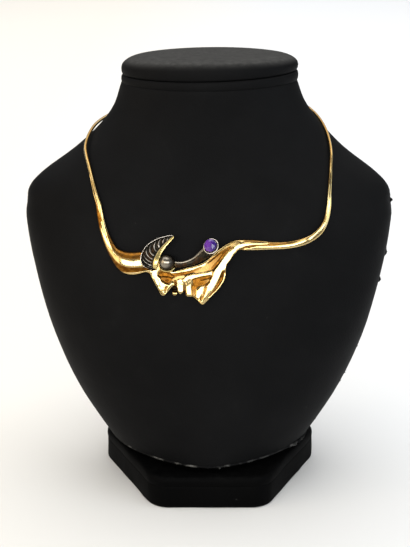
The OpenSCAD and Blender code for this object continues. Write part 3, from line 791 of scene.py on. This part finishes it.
def collar_ring(row, k):
    """A section of the collar on the chest, from its inner edge over the front to its outer edge."""
    inner_x, inner_z, outer_x, outer_z, thickness = row
    ring = []
    brown = []
    edge_softness = 0.3 + 0.45 * limited((thickness - 1.9) / 1.2)
    gutter_share = max(limited((left_gutter_end - k) / 3), limited((k - right_gutter_start) / 2.5))
    for angle in section_angles:
        across = (1 - math.cos(angle)) / 2
        rise = math.sin(angle)
        x = inner_x + (outer_x - inner_x) * across
        z = inner_z + (outer_z - inner_z) * across
        height, dark = fold_at(x, z)
        lift = chest_gap + height * limited(3 * rise)
        lift += thickness * (1 + (rise ** edge_softness if rise > 0 else rise)) / 2
        if rise > 0:
            lift -= side_gutter(x, across) * gutter_share * rise
        ring.append(before_chest(x, z, lift))
        # Edges of the bars and horn are painted brown, a painted shade on their turned-away sides; the back
        # gets 0.8
        edge = max(0, 1 - rise / 0.45) if k < left_brown_end or k > right_brown_start else 0
        brown.append(max(dark, edge) if rise > -0.2 else 0.8)
    return ring, brown


chest_wire_z, wire_turn = 166, 22
wire_gutter_top, wire_gutter_fade = 181, 10


def wire_ring(table, k):
    """A section of a wire: its outward side faces forward on the chest and sideways above it."""
    x, y, z, radius = row_at(table, k)
    ahead = Vector(row_at(table, min(k + 0.1, len(table) - 1))[:3])
    behind = Vector(row_at(table, max(k - 0.1, 0))[:3])
    along = (ahead - behind).normalized()
    turn = limited((z - chest_wire_z) / wire_turn)
    outward = Vector((x * turn, y - neck_half_width * (1 - turn), 0))
    outward = (outward - along * outward.dot(along)).normalized()
    inner = outward.cross(along)
    groove = limited((wire_gutter_top - z) / wire_gutter_fade) if y < 0 else 0
    ring = []
    brown = []
    for angle in section_angles:
        across = (1 - math.cos(angle)) / 2
        dip = side_gutter(x, across) * groove * max(0, math.sin(angle))
        ring.append(Vector((x, y, z)) + radius * (inner * math.cos(angle) + outward * math.sin(angle))
                    - outward * dip)
        # The sides of the wire are painted brown, a painted shade on its turned-away sides
        edge = 0.05 + 0.7 * max(0, abs(2 * across - 1) - 0.75) / 0.25
        brown.append(max(fold_at(ring[-1].x, ring[-1].z)[1] * min(1, groove * 2), edge))
    return ring, brown


wire_steps, section_steps = 4, 8
made = [wire_ring(left_wire, k) for k in row_numbers(left_wire, wire_steps)]
made += [collar_ring(row_at(collar_table, k), k) for k in row_numbers(collar_table, section_steps)]
made += [wire_ring(right_wire, k) for k in row_numbers(right_wire, wire_steps)]
collar = skin("bronze_collar", [ring for ring, _ in made], {"tarnish": [brown for _, brown in made]})


def bronze(name):
    """Polished golden bronze, brown to black where its attribute says: patina, painted reflection and
    painted shadow.
    """
    material, surface, shade = new_material(name, Metallic=1.0, Coat_Roughness=0.1, Coat_IOR=1.7)
    cloud = shade.noise(450, 5.0, 0.6)
    specks = shade.noise(150, 4.0, 0.6).above(0.55, 0.8) * 0.12
    amount = shade.attribute("tarnish") * (0.75 + cloud * 0.5) + specks
    # Brown is patina in the hollows and painted dark reflection on the horn and bars; black is painted
    # shadow
    brown = amount.above(0.0, 1.0)
    black = amount.above(1.2, 1.9)
    gold = cloud.above(0.35, 0.7).mix([0.68, 0.46, 0.14, 1], [0.65, 0.5, 0.23, 1])
    brown_patina_and_reflection = cloud.above(0.4, 0.65).mix([0.11, 0.039, 0.004, 1], [0.24, 0.098, 0.011, 1])
    colour = black.mix(brown.mix(gold, brown_patina_and_reflection), [0.01, 0.006, 0.003, 1])
    roughness = 0.1 + brown * 0.22 + shade.noise(900, 2.0) * 0.05
    height = shade.noise(320, 3.0) * 0.7 + shade.noise(1500, 3.0) * 0.3
    bump = shade.node("Bump", {}, {"Height": height, "Strength": 0.08, "Distance": 0.0005})
    gloss = (1 - brown) * (1 - brown) * 0.8
    connect(surface, Base_Color=colour, Roughness=roughness, Normal=bump, Coat_Weight=gloss)
    return material


polished_bronze = bronze("polished_bronze")
finish_piece(collar, polished_bronze, "collar")

# Leaf
# A crescent of oxidised bronze soldered over the end of the horn.
# It has a thin bright rim outside, a broad golden rim inside, and black gills between them.

# Sections from its tip to its foot: inner edge x and z, outer edge x and z, distance from the chest
leaf_table = [
    (-18, 150.3, -18.8, 151.2, 4.6),
    (-19, 149.1, -21, 151.1, 4.6),
    (-20, 148, -23.1, 150.5, 4.6),
    (-22, 145.8, -26, 149.7, 4.7),
    (-23.6, 143.8, -29, 148.3, 4.9),
    (-24.7, 142.1, -32, 146.2, 5.2),
    (-25.6, 140.2, -34.2, 143.6, 5.7),
    (-26.2, 138.9, -35.3, 141, 6.1),
    (-26.6, 137.7, -35.5, 138.7, 6.2),
    (-26.8, 136.5, -34.6, 136.5, 6.1),
    (-26.9, 135.6, -33.1, 135.1, 5.8),
    (-26.9, 134.8, -31.1, 134.1, 5.1),
    (-26.8, 134.1, -29, 133.4, 4.5),
]
leaf_sheet, rim_height, gill_height = 1.0, 1.1, 0.85
outer_rim_width, gill_sweep = 0.45, 1.9
# Width of the inner rim at the tip, how much it widens with each row, and its widest
rim_at_tip, rim_growth, rim_widest = 0.7, 0.24, 2.2


def leaf_ring(row, k):
    """A section of the leaf. Gills start steeply at the outer rim and curl level to the inner one."""
    inner_x, inner_z, outer_x, outer_z, forward = row
    width = math.hypot(outer_x - inner_x, outer_z - inner_z)
    inner_rim_width = min(rim_at_tip + rim_growth * k, rim_widest, 0.45 * width)
    ring = []
    rub_and_highlight = []
    gilt = []
    for angle in section_angles:
        across = (1 - math.cos(angle)) / 2
        x = inner_x + (outer_x - inner_x) * across
        z = inner_z + (outer_z - inner_z) * across
        from_inner, from_outer = width * across, width * (1 - across)
        inner_rim = 1 / (1 + math.exp((from_inner - inner_rim_width) * 5))
        outer_rim = math.exp(-(from_outer / outer_rim_width) ** 4)
        hollow_width = max(width - inner_rim_width - outer_rim_width, 0.5)
        share = limited((from_inner - inner_rim_width) / hollow_width)
        hollow = limited((width - 2.5) / 2) * min(1, 6 * share) * min(1, 5 * (1 - share))
        turn = k - gill_sweep * (1 - share ** 2.2) - 0.25
        uneven_height = 0.8 + 0.5 * noise.noise((turn, 2 * share, 3))
        gill = (0.5 + 0.5 * math.cos(2 * math.pi * turn)) ** 1.3 * uneven_height
        rise = 0
        if math.sin(angle) > 0.01:
            bend = 1 - 0.5 * min(1, from_inner / inner_rim_width)
            rise = max(rim_height * inner_rim * bend, rim_height * outer_rim, gill_height * hollow * gill)
        ring.append(before_chest(x, z, forward + rise + leaf_sheet * (1 + math.sin(angle)) / 2))
        shown = math.sin(angle) > -0.05
        rub_and_highlight.append(max(outer_rim, inner_rim, 0.7 * hollow * gill ** 1.5) if shown else 0)
        gilt.append(inner_rim)
    return ring, rub_and_highlight, gilt


leaf_steps = 20
made = [leaf_ring(row_at(leaf_table, k), k) for k in row_numbers(leaf_table, leaf_steps)]
leaf = skin("crescent_leaf", [ring for ring, _, _ in made],
            {"rub_and_highlight": [rub_and_highlight for _, rub_and_highlight, _ in made], "gilt": [gilt for _, _, gilt in made]})


def oxidised(name, tone, rubbed_roughness):
    """Blackened bronze, bright where rubbed and, on the stem, where a highlight is painted; golden where
    gilt says.
    """
    material, surface, shade = new_material(name, Metallic=1.0)
    cloud = shade.noise(700, 4.0, 0.6)
    rub_and_highlight = (shade.attribute("rub_and_highlight") * (0.65 + cloud * 0.7)).above(0.2, 0.9)
    bright = shade.attribute("gilt").above(0.2, 0.7).mix([0.7, 0.64, 0.56, 1], [0.7, 0.55, 0.22, 1])
    deep = [0.3 * tone, 0.27 * tone, 0.22 * tone, 1]
    dark = cloud.above(0.35, 0.7).mix(deep, [tone, 0.85 * tone, 0.6 * tone, 1])
    dark = shade.noise(160, 3.0).above(0.5, 0.62).mix(dark, [1.3 * tone, 0.65 * tone, 0.28 * tone, 1])
    colour = rub_and_highlight.mix(dark, bright)
    roughness = 0.4 + rub_and_highlight * (rubbed_roughness - 0.4) + shade.noise(1300, 2.0) * 0.08
    bump = shade.node("Bump", {}, {"Height": shade.noise(900, 4.0), "Strength": 0.15, "Distance": 0.0004})
    connect(surface, Base_Color=colour, Roughness=roughness, Normal=bump)
    return material


leaf_bronze = oxidised("leaf_bronze", 0.025, 0.2)
finish_piece(leaf, leaf_bronze, "leaf")

# Ball and its cup
# A dark polished ball sits in front of the leaf's foot.
# A small open cup of oxidised bronze holds it from below, soldered to the drape.


def lathe(name, profile, turn, centre, marks=None, steps=64, sharp=50):
    """Turns a closed profile of (radius, height) round its axis, tilts it and sets it in its place."""
    tilt = Euler([math.radians(a) for a in turn]).to_matrix()
    rings = []
    for i in range(steps + 1):
        angle = 2 * math.pi * (i % steps) / steps
        c, s = math.cos(angle), math.sin(angle)
        rings.append([centre + tilt @ Vector((r * c, r * s, h)) for r, h in profile])
    return skin(name, rings, {key: [values] * (steps + 1) for key, values in (marks or {}).items()}, sharp)


ball_centre = before_chest(-21.7, 137.7, 6.4)
ball_radius = 4.15
bpy.ops.object.select_all(action="DESELECT")
bpy.ops.mesh.primitive_uv_sphere_add(segments=96, ring_count=48, radius=1)
ball = bpy.context.object
ball.name = ball.data.name = "dark_ball"
for vertex in ball.data.vertices:
    roundness = 1 - 0.006 * abs(noise.noise(vertex.co * 2.5))
    vertex.co = (ball_centre + vertex.co * ball_radius * roundness) * MM
# Painted highlight: the side of the ball that faces the front windows is painted lighter
toward_window = Vector((-0.28, -0.92, 0.25)).normalized()
painted_highlight_shares = []
for vertex in ball.data.vertices:
    facing = (vertex.co / MM - ball_centre).normalized().dot(toward_window)
    painted_highlight_shares.append(limited((facing - 0.6) / 0.35))
painted_highlight = ball.data.attributes.new("painted_highlight", "FLOAT", "POINT")
painted_highlight.data.foreach_set("value", painted_highlight_shares)
bpy.ops.object.shade_smooth()
gunmetal, surface, shade = new_material("gunmetal", Metallic=1.0)
# A painted highlight: lighter and smoother where the ball faces the windows
painted_highlight_amount = (shade.attribute("painted_highlight") * (0.6 + shade.noise(500, 4.0) * 0.8)).above(0.1, 1.0)
tone = painted_highlight_amount.mix([0.04, 0.033, 0.025, 1], [0.28, 0.25, 0.2, 1])
connect(surface, Base_Color=tone, Roughness=0.26 - painted_highlight_amount * 0.08 + shade.noise(800, 3.0) * 0.08)
finish_piece(ball, gunmetal, "ball")

cup_inside, cup_outside = ball_radius + 0.1, ball_radius + 0.85
cup_middle = (cup_inside + cup_outside) / 2
cup_angles = [math.radians(-66 + 36 * i / 12) for i in range(13)]
lip_angle = cup_angles[-1] + 0.05
cup_profile = [(cup_inside * math.cos(a), cup_inside * math.sin(a)) for a in cup_angles]
cup_profile += [(cup_middle * math.cos(lip_angle), cup_middle * math.sin(lip_angle))]
cup_profile += [(cup_outside * math.cos(a), cup_outside * math.sin(a)) for a in reversed(cup_angles)]
cup_rub = [1 if 10 <= i <= 16 else 0.15 for i in range(len(cup_profile))]
cup = lathe("ball_holder", cup_profile, (30, 0, -8), ball_centre,
            {"rub_and_highlight": cup_rub, "gilt": [1] * len(cup_profile)})
finish_piece(cup, leaf_bronze, "ball_cup")

# Stem and bezel
# A curved horn of oxidised bronze rises from the ball and flares into a cup-shaped bezel.
# Bezel and stem are soldered into one piece, and the bezel's rim is rubbed bright.

# Axis from the ball to the bezel: x, z, distance from the chest, radius
stem_table = [
    (-17.5, 136.4, 5.2, 1.7),
    (-15.6, 136.4, 5, 1.4),
    (-13.3, 136.5, 4.8, 1.4),
    (-10.4, 137.2, 4.7, 1.6),
    (-7.5, 138.3, 4.7, 1.9),
    (-4.7, 140.2, 5, 2.3),
    (-2.2, 142.2, 5.7, 2.7),
    (0, 144.2, 6.6, 3.05),
]


def stem_ring(row, before, after):
    """A round section of the stem, painted bright along its upper side: a painted highlight."""
    *place, radius = row
    centre = before_chest(*place)
    along = (before_chest(*after[:3]) - before_chest(*before[:3])).normalized()
    side = along.cross(Vector((0, -1, 0))).normalized()
    outward = side.cross(along)
    steps = 72
    angles = [2 * math.pi * i / steps for i in range(steps)]
    ring = [centre + radius * (side * math.cos(a) - outward * math.sin(a)) for a in angles]
    # Painted highlight: the upper side is painted bright, as light from above falls on it
    upper = [max(0, (centre - p).dot(side) / radius) for p in ring]
    return ring, [0.8 * limited((u - 0.6) / 0.3) for u in upper]


rows = smooth_rows(stem_table, 12)
made = [stem_ring(row, rows[max(i - 1, 0)], rows[min(i + 1, len(rows) - 1)]) for i, row in enumerate(rows)]
stem = skin("stem_tube", [ring for ring, _ in made],
            {"rub_and_highlight": [rub_and_highlight for _, rub_and_highlight in made], "gilt": [[0.35] * len(rub_and_highlight) for _, rub_and_highlight in made]})
stem_bronze = oxidised("stem_bronze", 0.04, 0.36)
finish_piece(stem, stem_bronze, "stem")

bezel_radius, bezel_wall, seat_depth = 4.1, 0.4, 1.6
bezel_centre = before_chest(0.9, 146.9, 9.4)
bezel_turn = (58, 0, -24)
bead_radius, bead_height = bezel_wall * 0.65, bezel_wall * 0.5
rim_bead = [(bezel_radius - bezel_wall / 2 + bead_radius * math.cos(a), bead_height * math.sin(a) - 0.2)
            for a in [math.radians(d) for d in range(-30, 211, 30)]]
bezel_profile = [(0, -3), (2.3, -3), (2.6, -2.85), (3.2, -2), (3.45, -1.55), (3.72, -1.45), (3.8, -1.2),
                 (3.7, -0.95), (3.85, -0.6)] + rim_bead + [(bezel_radius - bezel_wall, -seat_depth),
                                                          (0, -seat_depth)]
bezel_rub = [0.1] * 4 + [0.7] * 4 + [0.3] + [1.3] * len(rim_bead) + [0.5, 0.5]
bezel = lathe("bezel_cup", bezel_profile, bezel_turn, bezel_centre,
              {"rub_and_highlight": bezel_rub, "gilt": [0.1] * len(bezel_profile)})
finish_piece(bezel, stem_bronze, "stem")

# Stone
# A clear purple stone cut with a table and rows of facets, drawn out to a soft tip.
# It sits a little proud in the bezel, and its culet is hidden by the metal.

stone_radius = bezel_radius - bezel_wall + 0.05
tip_angle, tip_share = 60, 0.06
# Rings from the pavilion to the table: share of the full radius, height, first corner
stone_table = [(0.55, -1.4, 0), (0.97, 0, 22.5), (1, 0.35, 22.5), (0.86, 1.5, 0), (0.48, 2.55, 22.5)]
tilt = Euler([math.radians(a) for a in bezel_turn]).to_matrix()
stone_shift = Vector((-0.15, 0, 0.35))
stone_rings = []
for share, height, first in stone_table:
    ring = []
    for i in range(8):
        angle = math.radians(45 * i + first)
        tip = 1 - tip_share + tip_share * math.cos(angle - math.radians(tip_angle))
        radius = stone_radius * share * tip
        place = Vector((radius * math.cos(angle), radius * math.sin(angle), height))
        ring.append(bezel_centre + tilt @ (place + stone_shift))
    stone_rings.append(ring)
stone = skin("purple_stone", stone_rings, sharp=5)
amethyst, surface, shade = new_material("amethyst", IOR=1.54, Transmission_Weight=0.45, Roughness=0.05,
                                        Coat_Weight=0.15)
across = shade.node("SeparateXYZ", {}, {"Vector": shade.node("TexCoord", out=3)}) * 1000
zone = (across * 0.16 + shade.noise(260, 3.0) * 0.5).above(0.1, 0.7)
connect(surface, Base_Color=zone.mix([0.19, 0.05, 0.42, 1], [0.04, 0.012, 0.22, 1]))
finish_piece(stone, amethyst, "stone")

# Clasp
# A plain barrel closes the loop behind the neck, over the ends of both wires.

clasp_low, clasp_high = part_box("clasp")
clasp_centre = (Vector(clasp_low) + Vector(clasp_high)) / 2 / MM
clasp_half = (clasp_high[0] - clasp_low[0]) / 2 / MM
clasp_radius = (clasp_high[2] - clasp_low[2]) / 2 / MM
# One half of the barrel, from the groove round its middle to its end: radius, distance, tarnish
clasp_table = [
    (clasp_radius - 0.25, 0.15, 1.2), (clasp_radius, 0.35, 0.2), (clasp_radius, clasp_half - 0.6, 0),
    (clasp_radius - 0.2, clasp_half - 0.15, 0.2), (clasp_radius - 0.6, clasp_half, 0.3),
    (0, clasp_half, 0.2),
]
clasp_rows = [(radius, -distance, brown) for radius, distance, brown in reversed(clasp_table)] + clasp_table
clasp = lathe("barrel_clasp", [row[:2] for row in clasp_rows], (0, 90, 0), clasp_centre,
              {"tarnish": [row[2] for row in clasp_rows]}, sharp=40)
finish_piece(clasp, polished_bronze, "clasp")
